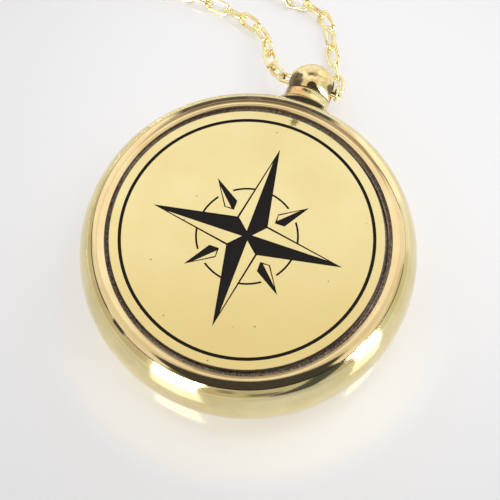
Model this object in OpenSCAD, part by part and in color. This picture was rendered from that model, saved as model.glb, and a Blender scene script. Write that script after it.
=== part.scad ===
// Compass pendant: a round brass case with an engraved plate on its back, a compass under a
// crystal on its front, a ball crown on a flared neck, and a cable chain through the crown.
// The pendant lies front down. Origin: middle of the case on the face it rests on.
// +Z points up out of the engraved plate, +Y points from the case to the crown.

/* [Case] */
// Outer diameter of the case
case_d = 45; // [42:0.5:50]
// Thickness from the lower bezel's land to the crest of the upper bezel
case_h = 12; // [11.5:0.1:14]
// Radius of the bulge of the case's side, in section
side_r = 10; // [9:0.5:12.5]
// Radius of the shoulder between side and bezel, in section
shoulder_r = 2.8; // [2.4:0.1:3]
// Step down from a bezel's crest to the crest of the shoulder's arc, which the bezel hides
shoulder_drop = 0.1; // [0:0.05:0.3]
// Gap at a seam between two fitted pieces
seam = 0.05; // [0.03:0.01:0.08]

/* [Bezels] */
// Width of a bezel from its lip to its outer edge
bezel_w = 1.65; // [1.4:0.05:2]
// How far a bezel reaches out past the crest of the shoulder's arc
bezel_reach = 1.35; // [1.1:0.05:1.6]
// Radius of a bezel's crowned top, in section
bezel_crown_r = 2.2; // [1.8:0.1:5]
// Radius of a bezel's rounded lip, in section
lip_round = 0.4; // [0.3:0.05:0.5]
// Width of the flat land between a bezel's lip and its crown
bezel_land = 0.15; // [0.1:0.05:0.3]
// Depth of the rebate that a bezel sits in, from its crest
rebate_depth = 1.8; // [1.6:0.1:2.2]
// Depth of the step inside a bezel's lip
step_depth = 0.7; // [0.5:0.05:0.9]
// Width of the step inside a bezel's lip
step_w = 0.5; // [0.4:0.05:0.7]

/* [Engraved plate] */
// Thickness of the plate
plate_t = 1; // [0.8:0.1:1.2]
// Depth of the plate's face below the bezel's crest
plate_drop = 0.05; // [0:0.05:0.2]
// Gap between the plate's edge and the bezel's step
plate_gap = 0.26; // [0.24:0.02:0.4]
// How far the plate sits off the middle of its seat, to the left
plate_shift = 0.18; // [0:0.02:0.2]
// Distance from the plate's edge to the middle of its engraved circle
circle_inset = 1.4; // [1:0.1:2]
// Width of the engraved circle's line
circle_w = 0.44; // [0.25:0.01:0.5]
// Depth of the engraving
engrave_depth = 0.15; // [0.1:0.05:0.25]
// Length of the engraved star's four long points
star_long = 13; // [10:0.5:14]
// Length of the engraved star's four short points
star_short = 9; // [7:0.5:9.5]
// Half-width of the long points where they are widest
star_waist = 2.1; // [1.6:0.1:2.6]
// Radius of the ring behind the star
star_ring_r = 6.6; // [5:0.1:6.8]
// Width of the star's engraved lines
star_line_w = 0.26; // [0.2:0.02:0.36]

/* [Crystal and compass] */
// Thickness of the crystal
crystal_t = 1; // [0.8:0.1:1.3]
// Depth of the crystal's outer face inside the lower bezel
crystal_recess = 1.05; // [0.8:0.05:1.2]
// Width of the ledge that the crystal lies on
crystal_ledge = 0.9; // [0.7:0.1:1.4]
// Room between the crystal and the compass card
chamber_h = 5.1; // [4.8:0.1:5.4]
// Thickness of the compass card
card_t = 0.5; // [0.4:0.1:0.7]
// Diameter of the pivot's foot
pivot_foot_d = 1; // [0.9:0.1:1.4]
// Diameter of the pivot where the needle turns on it
pivot_d = 0.7; // [0.6:0.05:0.8]
// Radial clearance of the needle's cap on the pivot
pivot_play = 0.05; // [0.03:0.01:0.08]
// Length of each arm of the needle
needle_l = 14.2; // [12:0.2:15]
// Width of the needle at its middle
needle_w = 2.8; // [2:0.1:3.4]
// Thickness of the needle's blade
needle_t = 0.3; // [0.2:0.05:0.4]
// Diameter of the needle's cap
cap_d = 2.4; // [2:0.1:3]
// Height of the needle's cap
cap_h = 1.5; // [1.2:0.1:1.8]
// Room between the crystal and the needle's cap
cap_room = 1.7; // [1.2:0.1:1.9]

/* [Crown] */
// Diameter of the crown's ball
ball_d = 6.7; // [6.4:0.1:7.4]
// Distance from the case's side to the seam under the ball
neck_l = 1.95; // [1.75:0.05:2.6]
// How deep the ball is cut where it sits on the neck
ball_cut = 1.7; // [1.5:0.1:2.1]
// How far the neck's rim stands out past the ball's cut
neck_lip = 0.25; // [0.1:0.05:0.35]
// Radius of the neck's hollow flare, in section
flare_r = 2.2; // [1.8:0.1:2.6]
// How far the flare spreads at the neck's foot
flare_w = 0.75; // [0.5:0.05:1]
// Height of the straight band at the top of the neck
neck_band = 0.25; // [0.15:0.05:0.4]
// Diameter of the crown's stem
stem_d = 2.3; // [2:0.1:2.6]
// Depth of the stem inside the neck
stem_l = 4; // [3.4:0.1:4.4]
// Diameter of the hole that the chain runs through
hole_d = 2.6; // [2.5:0.05:2.8]
// Height of the hole's axis above the ball's middle
hole_rise = 0.4; // [0.3:0.05:0.6]
// Width of the countersink at the hole's mouths
hole_sink = 0.2; // [0.1:0.05:0.3]

/* [Chain] */
// Length of a link, outside
link_l = 4.2; // [4:0.1:4.6]
// Width of a link, outside
link_w = 2.1; // [2.1:0.02:2.2]
// Diameter of the wire
wire_d = 0.5; // [0.44:0.02:0.5]
// Length of the clasp's barrel
clasp_l = 7; // [6:0.5:9]
// Diameter of the clasp's barrel
clasp_d = 2.6; // [2.2:0.1:3.2]
// Height of the chain's lowest points above the table
table_gap = 0.03; // [0.02:0.01:0.05]

/* [Hidden] */

// Radii of the case's rings, from the outside in
case_r = case_d / 2;
mid_z = case_h / 2;
shoulder_z = case_h - shoulder_drop;
corner_z = shoulder_z - shoulder_r - mid_z;
corner_r = case_r - side_r + sqrt(pow(side_r - shoulder_r, 2) - pow(corner_z, 2));
bezel_r = corner_r + bezel_reach;
lip_r = bezel_r - bezel_w;
step_r = lip_r - step_w;
plate_r = step_r - plate_gap;
circle_r = plate_r - circle_inset;
crystal_r = step_r - 2 * seam;
chamber_r = crystal_r - crystal_ledge;

// Heights of the seats
plate_top = case_h - plate_drop;
plate_seat = plate_top - plate_t - seam;
rebate_z = case_h - rebate_depth;
crystal_seat = crystal_recess + crystal_t + seam;
card_z = crystal_recess + crystal_t + chamber_h;
card_seat = card_z + card_t + seam;
cap_z = crystal_recess + crystal_t + cap_room;
pivot_socket = 1;

// Places along the crown's axis
ball_r = ball_d / 2;
seam_y = case_r + neck_l;
ball_y = seam_y + ball_r - ball_cut;
hole_y = ball_y + hole_rise;
neck_r = sqrt(ball_r * ball_r - pow(ball_r - ball_cut, 2)) + neck_lip;
neck_root = 1.9;

// Links. Each one's end wire runs through the middle of its neighbour's bend.
bend_r = (link_w - wire_d) / 2;
leg_l = link_l - link_w;
grip = bend_r / 2;
full_pitch = link_l - wire_d - bend_r;
// The links lie tilted by turns, so that all of them touch the table
link_tilt = 45;
rest_z = bend_r * sin(link_tilt) + wire_d / 2 + table_gap;

// The chain's route from the middle of the hole, right strand first, round the loop and back.
// x and y are millimetres from the middle of the hole. The third value is the height, as a
// share of the way from the chain lying flat to the hole.
clasp_rise = (clasp_d / 2 + table_gap - rest_z) / (mid_z - rest_z);
chain_route = [
    [0, 0, 1], [2.8, -0.2, 0.96], [3.7, -0.2, 0.93], [3.4, 1.7, 0.47], [2.7, 4.2, 0.22],
    [1.8, 6.1, 0.14], [0.3, 8.8, 0.05], [-1, 11.9, 0.11], [-3.5, 14.5, 0.01],
    [-6.8, 15.1, 0.01], [-7.6, 14.6, 0.01], [-17, 18, 0], [-30, 26, 0], [-52, 43, 0],
    [-79, 60, 0], [-109, 74, 0], [-142, 80, 0], [-175, 75, 0], [-203, 59, 0.3 * clasp_rise],
    [-221, 35, clasp_rise], [-227, 7, clasp_rise], [-221, -22, clasp_rise],
    [-203, -47, 0.3 * clasp_rise], [-176, -62, 0], [-147, -65, 0], [-118, -57, 0],
    [-93, -41, 0], [-75, -21, 0], [-61, -5, 0], [-47, 5, 0], [-36, 9, 0], [-27, 10.6, 0],
    [-19.7, 10.5, 0], [-17.1, 10.3, 0], [-14.3, 9.7, 0.08], [-11.4, 8.7, 0.16],
    [-9.5, 7.2, 0.27], [-7.8, 4.1, 0.49], [-6.7, 2.1, 0.6], [-4.4, 0.1, 0.92],
    [-2, -0.1, 1.01]];
// How the links are turned about the chain near the crown: distance along it, degrees
chain_turn = [
    [-16, 45], [-9.3, 70], [-6.4, 70], [-3.5, 65], [-0.6, 55], [2.3, 40], [5.2, 90], [8.1, 90],
    [11, 80], [16, 45]];
// How far the clasp sits past the point farthest from the crown
clasp_shift = -0.3;

// A smooth curve through the route's points, closed on itself
route_n = len(chain_route);
route_steps = 10;
function route_point(i) =
    let (p = chain_route[(i + route_n) % route_n])
    [p.x, hole_y + p.y, rest_z + (mid_z - rest_z) * p.z];
function slope(a, b, c) = (c - a) / (norm(b - a) + norm(c - b));
function curve(a, b, c, d, t) =
    let (span = norm(c - b))
    (2 * t * t * t - 3 * t * t + 1) * b + (t * t * t - 2 * t * t + t) * span * slope(a, b, c)
    + (3 * t * t - 2 * t * t * t) * c + (t * t * t - t * t) * span * slope(b, c, d);
path = [for (i = [0 : route_n - 1], k = [0 : route_steps - 1])
    curve(route_point(i - 1), route_point(i), route_point(i + 1), route_point(i + 2),
          k / route_steps)];
path_n = len(path);
path_s = [for (i = 0, s = 0; i <= path_n;
               s = s + norm(path[(i + 1) % path_n] - path[i % path_n]), i = i + 1) s];
loop_l = path_s[path_n];
function axis_table(k) = [for (i = [0 : path_n]) [path_s[i], path[i % path_n][k]]];
table_x = axis_table(0);
table_y = axis_table(1);
table_z = axis_table(2);
function wrap(s) = s - loop_l * floor(s / loop_l);
function along(s) = [lookup(wrap(s), table_x), lookup(wrap(s), table_y), lookup(wrap(s), table_z)];

// An odd number of links from one eye of the clasp to the other, at an even pitch
clasp_span = clasp_l + 2 * (bend_r - wire_d / 2 + grip);
clasp_s = loop_l / 2 + clasp_shift;
link_n = 2 * round(((loop_l - clasp_span) / full_pitch - 1) / 2) + 1;
pitch = (loop_l - clasp_span) / link_n;
function joint_s(k) = clasp_s + clasp_span / 2 + k * pitch;
joints = [for (k = [0 : link_n]) along(joint_s(k))];

// Turn of each link about its own length, and the direction its flat side faces
function crown_way(s) = wrap(s + loop_l / 2) - loop_l / 2;
turns = [for (k = [0 : link_n - 1])
    90 * (k % 2) + lookup(crown_way(joint_s(k + 0.5)), chain_turn)];
function face(run, turn) =
    let (u = run / norm(run), side = cross([0, 0, 1], u) / norm(cross([0, 0, 1], u)))
    cos(turn) * cross(u, side) - sin(turn) * side;
// Where two links bend against each other, the bend turns about the middle of the end bend of
// the one that lies in its plane: 1 when that is the later one, -1 when it is the earlier one
function keeper(k) =
    let (a = joints[k] - joints[k - 1], b = joints[k + 1] - joints[k], c = cross(a, b))
    c * c < 1e-6 ? 0
    : (pow(c * face(b, turns[k]), 2) - pow(c * face(a, turns[k - 1]), 2)) / (c * c);
keepers = [for (k = [0 : link_n]) k == 0 || k == link_n ? 0 : keeper(k)];
hinges = [for (k = [0 : link_n]) along(joint_s(k) + grip * keepers[k])];

big_fn = 160;
small_fn = 40;

// Section of the case's outside, with true arcs
module case_outline() {
    tangent_z = side_r * corner_z / (side_r - shoulder_r);
    intersection() {
        translate([case_r - side_r, mid_z]) circle(r = side_r, $fn = big_fn);
        translate([0, mid_z - tangent_z]) square([case_r + 1, 2 * tangent_z]);
    }
    for (s = [-1, 1]) {
        translate([corner_r, mid_z + s * corner_z]) circle(r = shoulder_r, $fn = small_fn);
    }
    translate([0, case_h - shoulder_z]) square([corner_r, 2 * shoulder_z - case_h]);
}

// Section of what is turned out of the case, from the plate's side
module case_hollow() {
    cut = case_h;
    translate([0, plate_seat]) square([step_r, cut]);
    translate([step_r - seam, rebate_z]) square([bezel_r + 2 * seam - step_r, cut]);
    translate([0, case_h - rebate_z - cut]) square([bezel_r + seam, cut]);
    translate([0, crystal_seat - cut]) square([crystal_r + seam, cut]);
    square([chamber_r, card_seat]);
}

// Flared neck, soldered to the case, with its axis along +Y
module neck() {
    top = seam_y - seam;
    root_y = case_r - neck_root;
    translate([0, 0, mid_z]) rotate([-90, 0, 0]) rotate_extrude($fn = big_fn) difference() {
        translate([0, root_y]) square([neck_r + flare_w, top - root_y]);
        translate([neck_r + flare_r, top - neck_band]) circle(r = flare_r, $fn = big_fn);
        translate([neck_r, top - neck_band]) square([2 * flare_w, 2 * neck_band]);
    }
}

module case() {
    color("#cdbd8c") difference() {
        union() {
            rotate_extrude($fn = big_fn) difference() {
                case_outline();
                case_hollow();
            }
            neck();
        }
        translate([0, seam_y - stem_l - seam, mid_z]) rotate([-90, 0, 0])
            cylinder(h = 2 * stem_l, d = stem_d + 2 * seam, $fn = small_fn);
        translate([0, 0, card_seat - 1])
            cylinder(h = 1 + pivot_socket + seam, d = pivot_foot_d + 2 * seam, $fn = small_fn);
    }
}

// Bezel with a crowned top, a round lip and a step inside it, resting in the upper rebate
module bezel() {
    crown_x = lip_r + lip_round + bezel_land;
    rotate_extrude($fn = big_fn) {
        translate([step_r, rebate_z + seam])
            square([bezel_r - step_r, rebate_depth - step_depth - seam]);
        intersection() {
            translate([lip_r, rebate_z + seam]) square([bezel_w, rebate_depth - seam]);
            union() {
                translate([crown_x, case_h - bezel_crown_r])
                    circle(r = bezel_crown_r, $fn = big_fn);
                translate([crown_x - bezel_land, rebate_z]) square([bezel_land, rebate_depth]);
                translate([lip_r + lip_round, case_h - lip_round])
                    circle(r = lip_round, $fn = small_fn);
                translate([lip_r, rebate_z])
                    square([lip_round + bezel_land, rebate_depth - lip_round]);
            }
        }
    }
}

module back_bezel() {
    color("#e8cd9b") bezel();
}

module front_bezel() {
    color("#e8cd9b") translate([0, 0, case_h]) mirror([0, 0, 1]) bezel();
}

// A ring of a given middle radius and line width, flat
module line_ring(r, w) {
    difference() {
        circle(r = r + w / 2, $fn = big_fn);
        circle(r = r - w / 2, $fn = big_fn);
    }
}

// One point of the star: a solid half and an outlined half, tip towards +Y
module star_point(l, waist, w) {
    polygon([[0, 0], [0, l], [waist, waist]]);
    difference() {
        polygon([[0, 0], [0, l], [-waist, waist]]);
        polygon([[-w, 2.4 * w], [-w, l * (1 - 1.3 * w / waist)], [w - waist, waist - 0.1 * w]]);
    }
}

module back_plate() {
    color("#f3e2aa") translate([-plate_shift, 0, 0]) difference() {
        translate([0, 0, plate_seat + seam]) cylinder(h = plate_t, r = plate_r, $fn = big_fn);
        translate([0, 0, plate_top - engrave_depth]) linear_extrude(2 * engrave_depth) {
            line_ring(circle_r, circle_w);
            difference() {
                line_ring(star_ring_r, star_line_w);
                for (a = [0 : 45 : 315]) {
                    rotate(a) translate([-star_waist / 2, 0]) square([star_waist, 2 * star_ring_r]);
                }
            }
            for (a = [0 : 90 : 270]) {
                rotate(a) star_point(star_long, star_waist, star_line_w);
                rotate(a + 45) translate([0, star_waist * 1.9])
                    star_point(star_short - star_waist * 1.9, star_waist * 0.45,
                               star_line_w * 0.7);
            }
        }
    }
}

module crystal() {
    color([0.85, 0.92, 0.92, 0.4]) translate([0, 0, crystal_recess])
        cylinder(h = crystal_t, r = crystal_r, $fn = big_fn);
}

module compass_card() {
    color("ivory") difference() {
        translate([0, 0, card_z]) cylinder(h = card_t, r = chamber_r - seam, $fn = big_fn);
        translate([0, 0, card_z - 1])
            cylinder(h = card_t + 2, d = pivot_foot_d + 2 * seam, $fn = small_fn);
    }
}

// Post that carries the needle, set through the card into the case
module pivot() {
    tip_z = cap_z + needle_t + 2 * seam;
    color("#b89b5a") {
        translate([0, 0, tip_z])
            cylinder(h = card_seat - tip_z, d = pivot_d, $fn = small_fn);
        translate([0, 0, card_z - 0.6])
            cylinder(h = card_seat + pivot_socket - card_z + 0.6, d = pivot_foot_d,
                     $fn = small_fn);
    }
}

// Needle with its cap, north arm towards +Y
module needle() {
    color("steelblue") difference() {
        union() {
            translate([0, 0, cap_z]) cylinder(h = cap_h, d = cap_d, $fn = small_fn);
            translate([0, 0, cap_z + (cap_h - needle_t) / 2]) linear_extrude(needle_t)
                polygon([[0, needle_l], [needle_w / 2, 0], [0, -needle_l], [-needle_w / 2, 0]]);
        }
        translate([0, 0, cap_z + needle_t])
            cylinder(h = 2 * cap_h, d = pivot_d + 2 * pivot_play, $fn = small_fn);
    }
}

// Ball on its stem, drilled across for the chain and countersunk at both mouths
module crown() {
    sink_r = hole_d / 2 + hole_sink;
    sink_x = sqrt(ball_r * ball_r - sink_r * sink_r);
    out_x = ball_d - sink_x;
    color("#d8c070") translate([0, 0, mid_z]) difference() {
        rotate([-90, 0, 0]) rotate_extrude($fn = big_fn) {
            intersection() {
                translate([0, ball_y]) circle(r = ball_r, $fn = big_fn);
                translate([0, seam_y]) square([ball_d, ball_d]);
            }
            translate([0, seam_y - stem_l]) square([stem_d / 2, stem_l + ball_cut / 8]);
        }
        translate([0, hole_y, 0]) rotate([0, 90, 0]) rotate_extrude($fn = small_fn)
            polygon([[0, -ball_d], [sink_r + out_x, -ball_d], [hole_d / 2, hole_sink - sink_x],
                     [hole_d / 2, sink_x - hole_sink], [sink_r + out_x, ball_d], [0, ball_d]]);
    }
}

// Turns and moves a thing that lies along X so that it points from one point to another
module from_to(a, b, turn, back) {
    run = b - a;
    translate((a + b) / 2 - back * run / norm(run))
        rotate([0, -asin(run.z / norm(run)), atan2(run.y, run.x)]) rotate([turn, 0, 0])
            children();
}

// Round wire bent through half a turn, open towards -X
module wire_bend() {
    rotate([0, 0, -90]) rotate_extrude(angle = 180, $fn = small_fn)
        translate([bend_r, 0]) circle(d = wire_d, $fn = small_fn);
}

// Long oval link along X
module link() {
    for (s = [0, 180]) {
        rotate([0, 0, s]) {
            translate([leg_l / 2, 0, 0]) wire_bend();
            translate([-leg_l / 2, bend_r, 0]) rotate([0, 90, 0])
                cylinder(h = leg_l, d = wire_d, $fn = small_fn);
        }
    }
}

module chain() {
    color("#e3c56b") for (k = [0 : link_n - 1]) {
        from_to(hinges[k], hinges[k + 1], turns[k], grip * (keepers[k] + keepers[k + 1]) / 2)
            link();
    }
}

// Plain barrel clasp with a round eye at each end
module clasp() {
    color("#e3c56b") from_to(joints[link_n], joints[0], link_tilt, 0) {
        translate([-clasp_l / 2, 0, 0]) rotate([0, 90, 0])
            cylinder(h = clasp_l, d = clasp_d, $fn = small_fn);
        for (s = [-1, 1]) {
            translate([s * (clasp_l / 2 + bend_r - wire_d / 2), 0, 0]) rotate([90, 0, 0])
                rotate_extrude($fn = small_fn)
                    translate([bend_r, 0]) circle(d = wire_d, $fn = small_fn);
        }
    }
}

case();
back_bezel();
back_plate();
front_bezel();
crystal();
compass_card();
pivot();
needle();
crown();
chain();
clasp();
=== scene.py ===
"""Compass pendant lying front down on a pale table: its chain, the print on the compass card, every
finish, the table, the light and the camera."""
import math

import bmesh
import bpy
import numpy as np
from mathutils import Matrix, Vector


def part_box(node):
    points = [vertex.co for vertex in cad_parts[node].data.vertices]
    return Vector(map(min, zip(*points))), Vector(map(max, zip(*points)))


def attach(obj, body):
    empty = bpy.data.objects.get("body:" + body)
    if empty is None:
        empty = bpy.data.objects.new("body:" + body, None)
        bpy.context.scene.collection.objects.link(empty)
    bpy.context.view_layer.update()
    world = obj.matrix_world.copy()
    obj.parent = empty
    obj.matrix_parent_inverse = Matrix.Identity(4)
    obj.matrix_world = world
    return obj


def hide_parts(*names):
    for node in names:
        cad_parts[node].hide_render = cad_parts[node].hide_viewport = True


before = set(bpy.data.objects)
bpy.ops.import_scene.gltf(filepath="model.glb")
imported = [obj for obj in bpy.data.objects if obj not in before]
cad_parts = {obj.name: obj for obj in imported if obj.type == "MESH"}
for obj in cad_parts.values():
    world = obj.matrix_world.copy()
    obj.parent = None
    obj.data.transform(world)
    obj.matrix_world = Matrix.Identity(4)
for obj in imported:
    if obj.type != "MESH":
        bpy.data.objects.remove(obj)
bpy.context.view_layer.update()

MM = 0.001

# Sizes of the pendant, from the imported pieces
case_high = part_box("case")[1]
bezel_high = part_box("back_bezel")[1]
plate_low, plate_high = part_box("back_plate")
card_low, card_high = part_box("compass_card")
crown_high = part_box("crown")[1]
MIDDLE = bezel_high.z / 2
CASE_RIM = case_high.x
BEZEL_RIM = bezel_high.y
LIP_RIM = BEZEL_RIM - 1.65 * MM
PLATE_TOP = plate_high.z
PLATE_RIM = (plate_high.y - plate_low.y) / 2
PLATE_X = (plate_high.x + plate_low.x) / 2
CARD_FACE = card_low.z
CARD_RIM = card_high.y
HOLE_Y = crown_high.y - 2.95 * MM
HOLE_RIM = 1.3 * MM
CROWN_SEAM = crown_high.y - 5 * MM

# The camera, fitted to the photograph, in millimetres from the middle of the case
CAMERA_AT = (20.16, -55.64, 166.75)
CAMERA_AIM = (0.86, -1.75, 12.0)
CAMERA_LENS = 92.16

# Directions on the table as the picture shows them: to its right, and towards its lower edge
view = Vector(CAMERA_AIM) - Vector(CAMERA_AT)
PICTURE_NEAR = Vector((-view.x, -view.y, 0)).normalized()
PICTURE_RIGHT = Vector((-PICTURE_NEAR.y, PICTURE_NEAR.x, 0))


def toward(azimuth, height=0):
    """Direction at an azimuth clockwise from the picture's right and a height above the table, in degrees."""
    around, up = math.radians(azimuth), math.radians(height)
    level = PICTURE_RIGHT * math.cos(around) + PICTURE_NEAR * math.sin(around)
    return level * math.cos(up) + Vector((0, 0, math.sin(up)))


# Mesh work

def start_editing():
    """Opens the active object in edit mode with nothing selected."""
    bpy.ops.object.mode_set(mode="EDIT")
    bpy.ops.mesh.select_mode(type="VERT")
    bpy.ops.mesh.select_all(action="DESELECT")


def close_shell():
    """Turns every face outwards and leaves edit mode."""
    bpy.ops.mesh.select_all(action="SELECT")
    bpy.ops.mesh.normals_make_consistent(inside=False)
    bpy.ops.object.mode_set(mode="OBJECT")


def settle(name):
    """Names the active object and moves its place into its mesh."""
    piece = bpy.context.object
    piece.name = name
    piece.data.name = name
    bpy.ops.object.transform_apply(location=True, rotation=True, scale=True)
    return piece


def copies(piece, name, places):
    """Copies a piece to each place, a matrix, and joins the copies into one piece."""
    bpy.ops.object.select_all(action="DESELECT")
    for place in places:
        copy = bpy.data.objects.new(name, piece.data.copy())
        bpy.context.scene.collection.objects.link(copy)
        copy.matrix_world = place
        copy.select_set(True)
        bpy.context.view_layer.objects.active = copy
    bpy.ops.object.join()
    bpy.data.objects.remove(piece)
    return settle(name)


# Chain

WIRE_SIDES = 6
BEND_STEPS = 6
# A wire of six flat sides is this much thicker over its corners than a round one of the same weight
WIRE_SWELL = 1.09


def packed_links():
    """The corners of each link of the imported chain."""
    mesh = bmesh.new()
    mesh.from_mesh(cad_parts["chain"].data)
    bmesh.ops.remove_doubles(mesh, verts=mesh.verts, dist=0.0001 * MM)
    seen = set()
    links = []
    for first in mesh.verts:
        if first in seen:
            continue
        seen.add(first)
        ahead = [first]
        link = []
        while ahead:
            corner = ahead.pop()
            link.append(corner.co.copy())
            for edge in corner.link_edges:
                other = edge.other_vert(corner)
                if other not in seen:
                    seen.add(other)
                    ahead.append(other)
        links.append(np.array(link))
    mesh.free()
    return links


def link_place(corners):
    """A link's place: its middle, and its directions along, across and out of its flat side."""
    middle = corners.mean(axis=0)
    out, across, along = np.linalg.eigh(np.cov((corners - middle).T))[1].T
    if np.dot(np.cross(along, across), out) < 0:
        out = -out
    place = Matrix.Identity(4)
    for column, way in enumerate((along, across, out, middle)):
        for row in range(3):
            place[row][column] = way[row]
    return place


def wire_link(length, width, wire):
    """One link along X: a ring of corners spun round a bend, drawn along a leg, spun back and closed."""
    bend = (width - wire) / 2
    leg = length - width
    bpy.ops.object.select_all(action="DESELECT")
    bpy.ops.mesh.primitive_circle_add(
        vertices=WIRE_SIDES, radius=WIRE_SWELL * wire / 2, location=(leg / 2, -bend, 0),
        rotation=(0, math.pi / 2, 0))
    start_editing()
    bpy.ops.mesh.select_all(action="SELECT")
    bpy.ops.mesh.spin(steps=BEND_STEPS, angle=-math.pi, center=(leg / 2, 0, 0), axis=(0, 0, 1))
    bpy.ops.mesh.extrude_region_move(TRANSFORM_OT_translate={"value": (-leg, 0, 0)})
    bpy.ops.mesh.spin(steps=BEND_STEPS, angle=-math.pi, center=(-leg / 2, 0, 0), axis=(0, 0, 1))
    bpy.ops.mesh.select_mode(type="EDGE")
    bpy.ops.mesh.select_all(action="DESELECT")
    bpy.ops.mesh.select_non_manifold()
    bpy.ops.mesh.bridge_edge_loops()
    close_shell()
    bpy.ops.object.shade_smooth()
    return settle("link")


def chain_of_links():
    """The whole chain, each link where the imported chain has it."""
    links = packed_links()
    places = [link_place(corners) for corners in links]
    flat = (links[0] - np.array(places[0].translation)) @ np.array(places[0].to_3x3())
    length, width, wire = flat.max(axis=0) - flat.min(axis=0)
    made = copies(wire_link(length, width, wire), "chain_links", places)
    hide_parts("chain")
    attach(made, "pendant")
    return made


# Print on the compass card, which faces down through the crystal

PRINT_HEIGHT = 0.03 * MM
PRINT_FACE = CARD_FACE - 0.002 * MM
PRINT_MIDDLE = (0, 0, PRINT_FACE)
DIAL_RIM = CARD_RIM - 0.9 * MM


def raise_print():
    """Gives the flat faces of the active mesh the print's height, downwards, and closes them."""
    bpy.ops.mesh.select_all(action="SELECT")
    bpy.ops.mesh.extrude_region_move(TRANSFORM_OT_translate={"value": (0, 0, -PRINT_HEIGHT)})
    close_shell()


def printed_ring(name, outer, width):
    """A ring of print round the card."""
    bpy.ops.object.select_all(action="DESELECT")
    bpy.ops.mesh.primitive_circle_add(vertices=120, radius=outer, location=PRINT_MIDDLE)
    start_editing()
    bpy.ops.mesh.select_all(action="SELECT")
    bpy.ops.mesh.extrude_edges_move()
    inner = 1 - width / outer
    bpy.ops.transform.resize(value=(inner, inner, 1), center_override=PRINT_MIDDLE)
    raise_print()
    return settle(name)


def printed_ticks(name, turns, length, width):
    """Ticks inside the dial's ring, one at each turn, in degrees."""
    bpy.ops.object.select_all(action="DESELECT")
    middle = (0, DIAL_RIM - length / 2, PRINT_FACE)
    bpy.ops.mesh.primitive_plane_add(size=1, location=middle)
    start_editing()
    bpy.ops.mesh.select_all(action="SELECT")
    bpy.ops.transform.resize(value=(width, length, 1), center_override=middle)
    raise_print()
    tick = settle("tick")
    return copies(tick, name, [Matrix.Rotation(math.radians(turn), 4, "Z") for turn in turns])


def part_of_circle(place, share, start=0):
    """Which of the circle's equal shares, in degrees, a place is nearest to, counted from a start."""
    return round((math.degrees(math.atan2(place.y, place.x)) - start) / share)


def printed_rose(name, long, short, waist):
    """An eight-pointed rose, of which every second half of a point is printed."""
    bpy.ops.object.select_all(action="DESELECT")
    bpy.ops.mesh.primitive_circle_add(
        vertices=16, radius=long, fill_type="TRIFAN", location=PRINT_MIDDLE)
    start_editing()
    rose = bpy.context.object.data
    # Every second corner is a waist, and every fourth one is the tip of a short point
    for every, first, reach in ((2, 1, waist), (4, 2, short)):
        bpy.ops.mesh.select_all(action="DESELECT")
        mesh = bmesh.from_edit_mesh(rose)
        for corner in mesh.verts:
            at_rim = corner.co.length > long / 2
            corner.select_set(at_rim and part_of_circle(corner.co, 22.5) % every == first)
        bmesh.update_edit_mesh(rose)
        bpy.ops.transform.resize(value=(reach / long, reach / long, 1), center_override=PRINT_MIDDLE)
    bpy.ops.mesh.select_all(action="DESELECT")
    mesh = bmesh.from_edit_mesh(rose)
    for face in mesh.faces:
        face.select_set(part_of_circle(face.calc_center_median(), 22.5, 11.25) % 2 == 0)
    bmesh.update_edit_mesh(rose)
    bpy.ops.mesh.delete(type="FACE")
    raise_print()
    return settle(name)


def printed_letter(letter, azimuth, reach, size):
    """A direction's letter, upright towards +Y and readable from below."""
    bpy.ops.object.select_all(action="DESELECT")
    around = math.radians(azimuth)
    bpy.ops.object.text_add(
        rotation=(0, math.pi, 0),
        location=(reach * math.sin(around), reach * math.cos(around), PRINT_FACE - PRINT_HEIGHT / 2))
    words = bpy.context.object
    words.data.body = letter
    words.data.size = size
    words.data.align_x = "CENTER"
    words.data.align_y = "CENTER"
    words.data.extrude = PRINT_HEIGHT / 2
    bpy.ops.object.convert(target="MESH")
    return settle("letter_" + letter)


def dial_print():
    """Every printed piece of the card. East is on the left from above, so on the right from below."""
    pieces = [
        printed_ring("dial_ring", DIAL_RIM, 0.18 * MM),
        printed_ring("dial_inner_ring", DIAL_RIM - 2.3 * MM, 0.1 * MM),
        printed_ticks("dial_ticks", [turn for turn in range(0, 360, 5) if turn % 30], 1.2 * MM, 0.12 * MM),
        printed_ticks("dial_long_ticks", range(0, 360, 30), 2.2 * MM, 0.24 * MM),
        printed_rose("dial_rose", 8.2 * MM, 5.4 * MM, 1.7 * MM)]
    for letter, azimuth in (("N", 0), ("E", 270), ("S", 180), ("W", 90)):
        pieces.append(printed_letter(letter, azimuth, 10.9 * MM, 3.6 * MM))
    for piece in pieces:
        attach(piece, "pendant")
    return pieces


# Shader work

def feed(tree, socket, value):
    """Gives a socket a plain value, or links another node's output to it."""
    if isinstance(value, bpy.types.NodeSocket):
        tree.links.new(value, socket)
    else:
        socket.default_value = value


def add(tree, kind, sockets=None, **settings):
    """A new shader node."""
    made = tree.nodes.new("ShaderNode" + kind)
    for name, value in settings.items():
        setattr(made, name, value)
    for name, value in (sockets or {}).items():
        feed(tree, made.inputs[name], value)
    return made


def calc(tree, operation, *values):
    """A Math node's result."""
    made = add(tree, "Math", operation=operation)
    for socket, value in zip(made.inputs, values):
        feed(tree, socket, value)
    return made.outputs[0]


def step_up(tree, value, start, end):
    """0 below start, 1 above end, smooth between them. With start above end it falls."""
    low, high = min(start, end), max(start, end)
    sockets = {"Value": value, "From Min": low, "From Max": high}
    if start > end:
        sockets.update({"To Min": 1.0, "To Max": 0.0})
    return add(tree, "MapRange", sockets, interpolation_type="SMOOTHSTEP").outputs[0]


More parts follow.
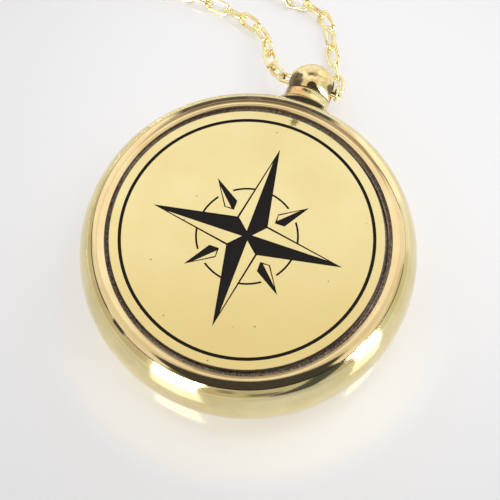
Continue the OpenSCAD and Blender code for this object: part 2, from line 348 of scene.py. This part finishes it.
def band(tree, value, low, high, soft):
    """1 between low and high, 0 outside them, with edges of the given softness."""
    rise = step_up(tree, value, low - soft / 2, low + soft / 2)
    fall = step_up(tree, value, high + soft / 2, high - soft / 2)
    return calc(tree, "MULTIPLY", rise, fall)


def distance(tree, across, along):
    """The length of the vector that has these two parts."""
    squares = [calc(tree, "MULTIPLY", part, part) for part in (across, along)]
    return calc(tree, "SQRT", calc(tree, "ADD", *squares))


def dot(tree, place, direction):
    """How far a place lies in a direction."""
    return add(tree, "VectorMath", {0: place, 1: direction}, operation="DOT_PRODUCT").outputs["Value"]


def mix_colour(tree, share, first, second):
    """Goes from the first colour to the second as share goes from 0 to 1."""
    return add(tree, "Mix", {0: share, 6: first, 7: second}, data_type="RGBA").outputs[2]


def mix_value(tree, share, first, second):
    """Goes from the first value to the second as share goes from 0 to 1."""
    return add(tree, "Mix", {0: share, 2: first, 3: second}, data_type="FLOAT").outputs[0]


def tint(tree, share, strength, under, over):
    """Lays one colour over another where share is 1, at the given strength."""
    return mix_colour(tree, calc(tree, "MULTIPLY", share, strength), under, over)


def colour(red, green, blue):
    """A colour given as it looks on a screen, 0 to 255, in the linear values that shaders take."""
    def linear(level):
        level /= 255
        return level / 12.92 if level <= 0.04045 else ((level + 0.055) / 1.055) ** 2.4
    return (linear(red), linear(green), linear(blue), 1.0)


class Finish:
    """A material with its Principled shader, and the place on the object split into its parts."""

    def __init__(self, name):
        self.material = bpy.data.materials.new(name)
        self.material.use_nodes = True
        self.tree = self.material.node_tree
        self.shader = self.tree.nodes["Principled BSDF"]
        self.place = add(self.tree, "TexCoord").outputs["Object"]
        parts = add(self.tree, "SeparateXYZ", {0: self.place})
        self.x, self.y, self.z = parts.outputs
        self.radius = distance(self.tree, self.x, self.y)
        # Azimuth round the case, clockwise from the picture's right, in degrees
        turn = calc(self.tree, "DEGREES", calc(self.tree, "ARCTAN2", self.y, self.x))
        right = math.degrees(math.atan2(PICTURE_RIGHT.y, PICTURE_RIGHT.x))
        self.round = calc(self.tree, "WRAP", calc(self.tree, "SUBTRACT", right, turn), 360.0, 0.0)

    def set(self, **values):
        """Sets the shader's sockets, named with underscores for spaces."""
        for name, value in values.items():
            feed(self.tree, self.shader.inputs[name.replace("_", " ")], value)

    def upper(self):
        """1 on the half of the pendant that lies upwards, 0 on the half that faces the table."""
        return step_up(self.tree, self.z, MIDDLE - 1 * MM, MIDDLE + 1 * MM)

    def clouds(self, size, detail=3.0, stretch=(1, 1, 1), roughness=0.55):
        """Soft noise from 0 to 1 whose patches have the given size in metres."""
        moved = add(self.tree, "Mapping", {"Vector": self.place, "Scale": stretch})
        noise = add(self.tree, "TexNoise", {
            "Vector": moved.outputs[0], "Scale": 1 / size, "Detail": detail, "Roughness": roughness})
        return noise.outputs[0]

    def ragged(self, size, detail, swing):
        """Soft noise that swings evenly round 0, to give an edge a ragged line."""
        even = calc(self.tree, "SUBTRACT", self.clouds(size, detail), 0.5)
        return calc(self.tree, "MULTIPLY", even, swing)

    def turned(self, pitch, sweep=0.6):
        """Noise of turning marks: narrow across the radius and the height, long round the axis."""
        tree = self.tree
        across = calc(tree, "MULTIPLY", self.radius, 1 / pitch)
        height = calc(tree, "MULTIPLY", self.z, 1 / pitch)
        east = calc(tree, "MULTIPLY", calc(tree, "DIVIDE", self.x, self.radius), sweep)
        north = calc(tree, "MULTIPLY", calc(tree, "DIVIDE", self.y, self.radius), sweep)
        point = add(tree, "CombineXYZ", {0: across, 1: height, 2: east})
        noise = add(tree, "TexNoise", {
            "Vector": point.outputs[0], "W": north, "Scale": 1.0, "Detail": 2.0}, noise_dimensions="4D")
        return noise.outputs[0]

    def specks(self, spacing, size, share):
        """Small round dots, 0 to 1, in this share of the cells of a pattern with the given spacing."""
        tree = self.tree
        cells = add(tree, "TexVoronoi", {"Vector": self.place, "Scale": 1 / spacing})
        near = step_up(tree, cells.outputs["Distance"], size / spacing, 0.6 * size / spacing)
        chance = add(tree, "SeparateColor", {0: cells.outputs["Color"]}).outputs[0]
        return calc(tree, "MULTIPLY", near, calc(tree, "LESS_THAN", chance, share))

    def bump(self, height, depth):
        """Turns the normals by a height from 0 to 1. Depth is its real depth in metres."""
        made = add(self.tree, "Bump", {"Height": height, "Distance": depth, "Strength": 1.0})
        self.set(Normal=made.outputs[0])

    def metal(self, bare, dull_cover, cover_colour, gloss):
        """Metal of a bare colour and gloss, with a dull cover of tarnish, paint, grime and painted shade
        where the cover's mask is 1.
        """
        tree = self.tree
        self.set(
            Base_Color=mix_colour(tree, dull_cover, bare, cover_colour),
            Metallic=calc(tree, "SUBTRACT", 1.0, dull_cover),
            Roughness=mix_value(tree, dull_cover, gloss, COVER_ROUGHNESS),
            Specular_IOR_Level=0.2)


# Painted shade with grime, and tarnish, that the brass pieces share

COVER_ROUGHNESS = 0.45
TARNISH_DARK = colour(70, 57, 52)
TARNISH_PALE = colour(210, 188, 160)
# Painted shade with grime: the colour of the seam stripes and of the shade before the neck
SHADE_AND_GRIME = colour(58, 46, 26)

# Each stripe's azimuth from and to and the softness of its ends, in degrees, and how far it reaches
# inwards and outwards from the bezel's rim, in millimetres
# These stripes are painted shade with grime along the seam between bezel and case
SEAM_STRIPES = (
    (241, 306, 8, 0.62, 0.1),
    (185, 243, 4, 0.05, 0.05),
    (151, 187, 3, 0.07, 0.07),
    (140, 147, 2, 0.1, 0.26),
    (11, 34, 5, 0.05, 0.06))
SEAM_EDGE = 0.12 * MM


def seam_shade_and_grime(finish):
    """Painted shade with grime along a bezel's seam: a wide stripe at the far side, thin lines and a patch
    elsewhere.
    """
    tree = finish.tree
    off = calc(tree, "SUBTRACT", finish.radius, BEZEL_RIM)
    dull_cover = 0.0
    for start, end, soft, inwards, outwards in SEAM_STRIPES:
        stripe = calc(
            tree, "MULTIPLY", band(tree, finish.round, start, end, soft),
            band(tree, off, -inwards * MM, outwards * MM, SEAM_EDGE))
        dull_cover = calc(tree, "MAXIMUM", dull_cover, stripe)
    worn = step_up(tree, finish.clouds(2.5 * MM, 4.0, roughness=0.7), 0.25, 0.5)
    upper = calc(tree, "MULTIPLY", dull_cover, finish.upper())
    return calc(tree, "MULTIPLY", upper, mix_value(tree, worn, 0.84, 0.96))


def groove_tarnish(finish):
    """The colour of the tarnish in the groove round the plate: dark, with pale streaks."""
    tree = finish.tree
    grain = step_up(tree, finish.clouds(0.22 * MM, 3.0, roughness=0.7), 0.42, 0.66)
    streaks = step_up(tree, finish.turned(0.12 * MM, 2.0), 0.4, 0.7)
    share = calc(tree, "MULTIPLY", calc(tree, "ADD", grain, streaks), 0.5)
    return mix_colour(tree, share, TARNISH_DARK, TARNISH_PALE)


# Finishes

def case_brass():
    """The case: pale lacquered brass, with painted shade and grime along the back bezel's seam, and painted
    shade and reflection round the neck's foot.
    """
    finish = Finish("pale brass of the case")
    tree = finish.tree
    tone = step_up(tree, finish.clouds(7 * MM, 5.0), 0.35, 0.65)
    bare = mix_colour(tree, tone, colour(233, 220, 170), colour(222, 206, 148))
    bare = mix_colour(tree, finish.specks(1.5 * MM, 0.07 * MM, 0.3), bare, colour(120, 106, 70))

    # The neck stands beyond the case's rim: a painted tan reflection at its foot, a painted shadow at one
    # side
    beyond = calc(tree, "SUBTRACT", finish.y, CASE_RIM)
    collar = step_up(tree, beyond, -0.3 * MM, 0.1 * MM)
    tan = calc(tree, "MULTIPLY", collar, step_up(tree, finish.x, 0.4 * MM, -0.6 * MM))
    bare = tint(tree, tan, 0.85, bare, colour(234, 188, 122))
    shadow = calc(tree, "MULTIPLY", collar, step_up(tree, finish.x, -1.9 * MM, -2.5 * MM))
    bare = tint(tree, shadow, 0.8, bare, colour(92, 84, 76))

    # Painted shadow in a wedge before the neck's foot, and painted shade in the seam under the crown
    wedge = calc(tree, "SUBTRACT", beyond, calc(tree, "MULTIPLY", finish.x, 0.1))
    before = calc(
        tree, "MULTIPLY", step_up(tree, beyond, -1.1 * MM, -0.95 * MM),
        step_up(tree, wedge, 0.15 * MM, -0.1 * MM))
    wide = band(tree, finish.x, -3.3 * MM, 2.9 * MM, 0.6 * MM)
    neck_shade = calc(tree, "MULTIPLY", calc(tree, "MULTIPLY", finish.upper(), wide), before)
    crown_seam_shade = step_up(tree, finish.y, CROWN_SEAM - 0.2 * MM, CROWN_SEAM - 0.08 * MM)
    neck_shade = calc(tree, "MAXIMUM", neck_shade, crown_seam_shade)

    # Tarnish in the groove inside the back bezel
    groove = calc(
        tree, "MULTIPLY",
        step_up(tree, finish.radius, BEZEL_RIM - 0.4 * MM, BEZEL_RIM - 0.6 * MM),
        step_up(tree, finish.z, MIDDLE, MIDDLE + 1 * MM))
    dull_cover = calc(tree, "MAXIMUM", seam_shade_and_grime(finish), calc(tree, "MAXIMUM", groove, neck_shade))
    cover_colour = mix_colour(tree, groove, SHADE_AND_GRIME, groove_tarnish(finish))
    worn = finish.clouds(1.4 * MM, 5.0, roughness=0.7)
    finish.metal(bare, dull_cover, cover_colour, mix_value(tree, worn, 0.05, 0.1))
    finish.bump(finish.clouds(0.2 * MM, 4.0), 0.0022 * MM)
    return finish.material


def bezel_brass():
    """The bezels: turned brass, tarnished in the groove inside the lip, with painted shade and grime along
    the seam.
    """
    finish = Finish("turned brass of the bezels")
    tree = finish.tree
    tone = step_up(tree, finish.clouds(6 * MM, 4.0), 0.35, 0.7)
    bare = mix_colour(tree, tone, colour(240, 217, 165), colour(231, 203, 150))
    groove = step_up(tree, finish.radius, LIP_RIM + 0.03 * MM, LIP_RIM - 0.01 * MM)
    # Painted shade with grime along the seam
    edge = seam_shade_and_grime(finish)
    cover_colour = mix_colour(tree, edge, groove_tarnish(finish), SHADE_AND_GRIME)
    finish.metal(
        bare, calc(tree, "MAXIMUM", groove, edge), cover_colour,
        mix_value(tree, finish.clouds(2 * MM, 5.0), 0.04, 0.09))
    finish.bump(finish.turned(0.16 * MM), 0.0016 * MM)
    return finish.material


def plate_brass():
    """The plate: satin brass with a tarnished rim, black paint in the engraving, specks and a stain."""
    finish = Finish("satin brass of the plate")
    tree = finish.tree
    tone = step_up(tree, finish.clouds(8 * MM, 5.0), 0.3, 0.7)
    bare = mix_colour(tree, tone, colour(254, 238, 180), colour(249, 230, 166))
    # Painted shade: the plate's brass is deeper in colour towards the near side
    near_shade = step_up(tree, dot(tree, finish.place, PICTURE_NEAR), -8 * MM, 17 * MM)
    bare = tint(tree, near_shade, 0.8, bare, colour(238, 214, 144))
    bare = mix_colour(tree, finish.specks(2.2 * MM, 0.11 * MM, 0.4), bare, colour(104, 80, 44))

    # A brown stain near the rim
    stain_at = toward(290.5) * 17.5 * MM
    aside = calc(tree, "SUBTRACT", finish.x, stain_at.x)
    ahead = calc(tree, "SUBTRACT", finish.y, stain_at.y)
    reach = calc(tree, "ADD", distance(tree, aside, ahead), finish.ragged(0.5 * MM, 4.0, 1.6 * MM))
    bare = tint(tree, step_up(tree, reach, 0.9 * MM, 0.2 * MM), 0.85, bare, colour(124, 110, 60))

    # Paint in all that is sunk, tarnish on the rim
    sunk = step_up(tree, finish.z, PLATE_TOP - 0.02 * MM, PLATE_TOP - 0.04 * MM)
    off = distance(tree, calc(tree, "SUBTRACT", finish.x, PLATE_X), finish.y)
    rim = step_up(tree, off, PLATE_RIM - 0.09 * MM, PLATE_RIM - 0.02 * MM)
    paint = mix_colour(tree, rim, colour(20, 14, 12), groove_tarnish(finish))
    brushed = finish.clouds(0.12 * MM, 2.0, stretch=(0.05, 1, 1))
    finish.metal(bare, calc(tree, "MAXIMUM", sunk, rim), paint, mix_value(tree, brushed, 0.3, 0.42))
    finish.bump(brushed, 0.0012 * MM)
    return finish.material


def crown_brass():
    """The crown: bright polish, with painted shade in its hole, round its mouths and in the seam under it,
    and painted dark reflections as dull blots.
    """
    finish = Finish("polished brass of the crown")
    tree = finish.tree
    # Tone in patches: the deeper orange patches are painted bounce reflection
    tone = step_up(tree, finish.clouds(1.6 * MM, 4.0), 0.4, 0.65)
    bare = mix_colour(tree, tone, colour(246, 230, 172), colour(228, 196, 132))
    ragged = finish.ragged(0.7 * MM, 3.0, 1.2 * MM)

    # Painted dark reflections: ragged round blots on the ball
    def dark_reflection(x, y, z, size):
        away = add(
            tree, "VectorMath", {0: finish.place, 1: Vector((x, y, z)) * MM}, operation="DISTANCE")
        reach = calc(tree, "ADD", away.outputs["Value"], ragged)
        return step_up(tree, reach, (size + 0.2) * MM, (size - 0.2) * MM)

    dark_reflections = calc(tree, "MAXIMUM", dark_reflection(-2.2, 25.2, 8.3, 1.4), dark_reflection(2.8, 25.9, 7.7, 0.7))
    bare = tint(tree, dark_reflections, 0.9, bare, colour(84, 72, 60))

    # Painted shade inside the hole, round its mouths and in the seam under the crown
    off = distance(
        tree, calc(tree, "SUBTRACT", finish.z, MIDDLE), calc(tree, "SUBTRACT", finish.y, HOLE_Y))
    bore_shade = step_up(tree, off, HOLE_RIM + 0.06 * MM, HOLE_RIM - 0.02 * MM)
    mouth_shade = calc(
        tree, "MULTIPLY", step_up(tree, off, HOLE_RIM + 0.4 * MM, HOLE_RIM + 0.15 * MM),
        step_up(tree, calc(tree, "ABSOLUTE", finish.x), 2.0 * MM, 2.4 * MM))
    crown_seam_shade = step_up(tree, finish.y, CROWN_SEAM + 0.2 * MM, CROWN_SEAM + 0.08 * MM)
    dull_cover = calc(tree, "MAXIMUM", calc(tree, "MAXIMUM", bore_shade, crown_seam_shade), mouth_shade)
    finish.metal(bare, dull_cover, colour(34, 28, 22), mix_value(tree, finish.clouds(1 * MM, 4.0), 0.04, 0.1))
    finish.bump(finish.clouds(0.4 * MM, 3.0), 0.003 * MM)
    return finish.material


def chain_gold():
    """The chain: bright gold-coloured wire, deeper in colour in places."""
    finish = Finish("gold-coloured wire")
    tree = finish.tree
    tone = step_up(tree, finish.clouds(1.5 * MM, 3.0), 0.35, 0.7)
    bare = mix_colour(tree, tone, colour(255, 244, 196), colour(250, 230, 160))
    deep = step_up(tree, finish.clouds(0.7 * MM, 3.0), 0.56, 0.72)
    finish.set(
        Metallic=1.0, Base_Color=mix_colour(tree, deep, bare, colour(206, 152, 74)),
        Roughness=mix_value(tree, finish.clouds(0.8 * MM), 0.1, 0.22))
    finish.bump(finish.clouds(0.3 * MM), 0.006 * MM)
    return finish.material


def crystal_glass():
    """The crystal: clear glass with faint smears."""
    finish = Finish("clear crystal")
    finish.set(
        Base_Color=(0.97, 0.99, 0.985, 1.0), IOR=1.5, Transmission_Weight=1.0,
        Roughness=mix_value(finish.tree, finish.clouds(6 * MM, 4.0), 0.0, 0.05))
    return finish.material


def card_enamel():
    """The card: cream enamel, a little uneven."""
    finish = Finish("cream enamel of the card")
    tone = finish.clouds(4 * MM, 4.0)
    finish.set(
        Base_Color=mix_colour(finish.tree, tone, colour(240, 232, 212), colour(232, 221, 196)),
        Roughness=mix_value(finish.tree, tone, 0.4, 0.55))
    return finish.material


def print_ink():
    """The print: dark blue ink, a little thin in places."""
    finish = Finish("dark blue ink")
    thin = step_up(finish.tree, finish.clouds(0.6 * MM, 4.0), 0.45, 0.75)
    finish.set(
        Base_Color=mix_colour(finish.tree, thin, colour(30, 38, 70), colour(58, 66, 98)),
        Roughness=mix_value(finish.tree, thin, 0.35, 0.5))
    return finish.material


def needle_steel():
    """The needle: blued steel on the north arm, bare steel on the south arm, brass cap."""
    finish = Finish("blued and bare steel")
    tree = finish.tree
    tone = finish.clouds(1.2 * MM, 3.0)
    blued = mix_colour(tree, tone, colour(38, 62, 112), colour(58, 84, 138))
    bare = mix_colour(tree, tone, colour(206, 206, 204), colour(190, 190, 188))
    arms = mix_colour(tree, step_up(tree, finish.y, -0.02 * MM, 0.02 * MM), bare, blued)
    cap = step_up(tree, finish.radius, 1.26 * MM, 1.22 * MM)
    finish.set(
        Metallic=1.0,
        Base_Color=mix_colour(tree, cap, arms, colour(214, 184, 120)),
        Roughness=mix_value(tree, finish.clouds(0.5 * MM), 0.2, 0.34))
    return finish.material


def dress(material, *nodes):
    """Puts a material on every slot of CAD nodes."""
    for node in nodes:
        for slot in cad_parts[node].material_slots:
            slot.material = material


# Table, light and camera

TABLE_SIDE = 6
TABLE_EMISSION = (0.325, 0.325, 0.342, 1)
# The painted glow of light that the brass throws on the table
BRASS_GLOW_LIGHT = (0.42, 0.407, 0.39, 1)


def table():
    """A plain pale table top with a painted pool of light just beyond the pendant, and a painted glow of
    light from the brass before it.
    """
    bpy.ops.object.select_all(action="DESELECT")
    bpy.ops.mesh.primitive_plane_add(size=TABLE_SIDE, location=(0, 0, 0))
    top = bpy.context.object
    top.name = "table"
    finish = Finish("pale table")
    tree = finish.tree
    # Painted pool of light: the table's colour is lightest round this point and darker far from it
    light_pool_middle = PICTURE_RIGHT * 13 * MM - PICTURE_NEAR * 20 * MM
    away = distance(
        tree, calc(tree, "SUBTRACT", finish.x, light_pool_middle.x), calc(tree, "SUBTRACT", finish.y, light_pool_middle.y))
    tone = mix_value(tree, step_up(tree, away, 10 * MM, 95 * MM), 0.66, 0.45)
    shade = add(tree, "CombineColor", {0: tone, 1: tone, 2: calc(tree, "MULTIPLY", tone, 1.02)})
    # Painted glow of light from the brass: emission on the near side just beyond the case
    off_near = calc(tree, "ABSOLUTE", calc(tree, "SUBTRACT", finish.round, 90.0))
    brass_glow_light = calc(
        tree, "MULTIPLY", step_up(tree, off_near, 85, 35),
        band(tree, finish.radius, CASE_RIM - 1 * MM, CASE_RIM + 7 * MM, 6 * MM))
    finish.set(
        Base_Color=shade.outputs[0], Roughness=0.12,
        Emission_Color=mix_colour(tree, brass_glow_light, TABLE_EMISSION, BRASS_GLOW_LIGHT), Emission_Strength=1.0)
    top.data.materials.append(finish.material)


def lamp(name, azimuth, height, width, tall, away, radiance):
    """A soft square light that looks at the pendant. Width and tall are angles in degrees."""
    data = bpy.data.lights.new(name, "AREA")
    data.shape = "RECTANGLE"
    data.size = 2 * away * math.tan(math.radians(width / 2))
    data.size_y = 2 * away * math.tan(math.radians(tall / 2))
    data.energy = radiance * math.pi * data.size * data.size_y
    light = bpy.data.objects.new(name, data)
    bpy.context.scene.collection.objects.link(light)
    way = toward(azimuth, height)
    light.location = way * away + Vector((0, 0, MIDDLE))
    light.rotation_euler = (-way).to_track_quat("-Z", "Y").to_euler()
    light.visible_camera = False
    return light


# Parts of the room that the pendant mirrors, each laid over those before it. Each has how much it leans
# to smaller azimuths for a degree of height, its azimuth from and to at the table's level, its height
# from and to and the softness of its edges, all in degrees, and its light.
ROOM_PARTS = (
    (0, -16, 21, -20, 46, 6, (0.76, 0.74, 0.62)),
    (0, 141, 226, -20, 33, 8, (0.66, 0.61, 0.54)),
    (0, 205, 250, 12, 50, 8, (1.15, 1.15, 1.15)),
    (0, 300, 325, -20, 33, 5, (1.4, 1.4, 1.45)),
    (0, 215, 322, 56, 74, 12, (1.16, 1.16, 1.16)),
    (0, 250, 303, 34, 57, 8, (0.50, 0.46, 0.42)),
    (0, 257, 284, 42, 51, 4, (0.17, 0.15, 0.10)),
    (1.16, 355.5, 359.5, 27, 52, 2, (0.08, 0.07, 0.05)),
    (0, 36, 114, -20, 46, 6, (0.62, 0.57, 0.49)),
    (0, 74, 90, 8, 24, 6, (0.25, 0.24, 0.24)),
    (0, 97, 105, 20, 33, 5, (0.30, 0.28, 0.24)),
    (0.69, 59, 82, -5, 46, 5, (0.09, 0.10, 0.105)),
    (0, 112, 137, 44, 62, 4, (0.30, 0.27, 0.14)),
    (0, 39, 113, 43, 64, 4, (0.065, 0.065, 0.07)))
ROOM_LEFT = (0.92, 0.90, 0.88, 1)
ROOM_RIGHT = (1.04, 1.04, 1.05, 1)
# A round dark form above the near side, and the half shade round it
DARK_FORM_AT = (90, 69.5)
DARK_FORM = (0.062, 0.062, 0.066, 1)
HALF_SHADE = (0.84, 0.81, 0.72, 1)


def room():
    """A pale room with the light and dark parts that the pendant mirrors."""
    world = bpy.data.worlds.new("pale room")
    bpy.context.scene.world = world
    world.use_nodes = True
    tree = world.node_tree
    way = add(tree, "TexCoord").outputs["Generated"]
    east = dot(tree, way, PICTURE_RIGHT)
    near = dot(tree, way, PICTURE_NEAR)
    height = calc(tree, "DEGREES", calc(tree, "ARCSINE", dot(tree, way, Vector((0, 0, 1)))))
    azimuth = calc(tree, "DEGREES", calc(tree, "ARCTAN2", near, east))
    azimuth = calc(tree, "WRAP", azimuth, 330.0, -30.0)
    from_form = calc(tree, "DEGREES", calc(tree, "ARCCOSINE", dot(tree, way, toward(*DARK_FORM_AT))))

    light = mix_colour(tree, step_up(tree, east, -0.8, 0.8), ROOM_LEFT, ROOM_RIGHT)
    shaded = calc(tree, "MULTIPLY", step_up(tree, from_form, 56, 28), step_up(tree, near, 0.3, -0.05))
    light = mix_colour(tree, shaded, light, HALF_SHADE)
    for lean, left, right, low, high, soft, shade in ROOM_PARTS:
        across = calc(tree, "ADD", azimuth, calc(tree, "MULTIPLY", height, lean))
        part = calc(
            tree, "MULTIPLY", band(tree, across, left, right, soft), band(tree, height, low, high, soft))
        light = mix_colour(tree, part, light, (*shade, 1))
    light = mix_colour(tree, step_up(tree, from_form, 27, 23), light, DARK_FORM)
    background = tree.nodes["Background"]
    feed(tree, background.inputs["Color"], light)
    feed(tree, background.inputs["Strength"], 1.0)


def camera():
    """The photograph's camera."""
    data = bpy.data.cameras.new("camera")
    data.lens = CAMERA_LENS
    data.sensor_width = 36
    data.clip_start = 0.01
    seen = bpy.data.objects.new("camera", data)
    bpy.context.scene.collection.objects.link(seen)
    seen.location = Vector(CAMERA_AT) * MM
    aim = Vector(CAMERA_AIM) * MM
    seen.rotation_euler = (aim - seen.location).to_track_quat("-Z", "Y").to_euler()
    bpy.context.scene.camera = seen


gold = chain_gold()
chain_of_links().data.materials.append(gold)
ink = print_ink()
for printed in dial_print():
    printed.data.materials.clear()
    printed.data.materials.append(ink)

dress(case_brass(), "case")
dress(bezel_brass(), "back_bezel", "front_bezel")
dress(plate_brass(), "back_plate")
dress(crown_brass(), "crown", "pivot")
dress(gold, "chain", "clasp")
dress(crystal_glass(), "crystal")
dress(card_enamel(), "compass_card")
dress(needle_steel(), "needle")

table()
camera()
room()
for name, azimuth, width in (("right window", 28.5, 15), ("left window", 126, 22)):
    window = lamp(name, azimuth, height=22, width=width, tall=44, away=3.0, radiance=12.0)
    window.visible_diffuse = False
fill = lamp("fill", 318, height=55, width=50, tall=50, away=0.3, radiance=1.0)
fill.visible_glossy = False
bpy.context.scene.view_settings.view_transform = "Standard"
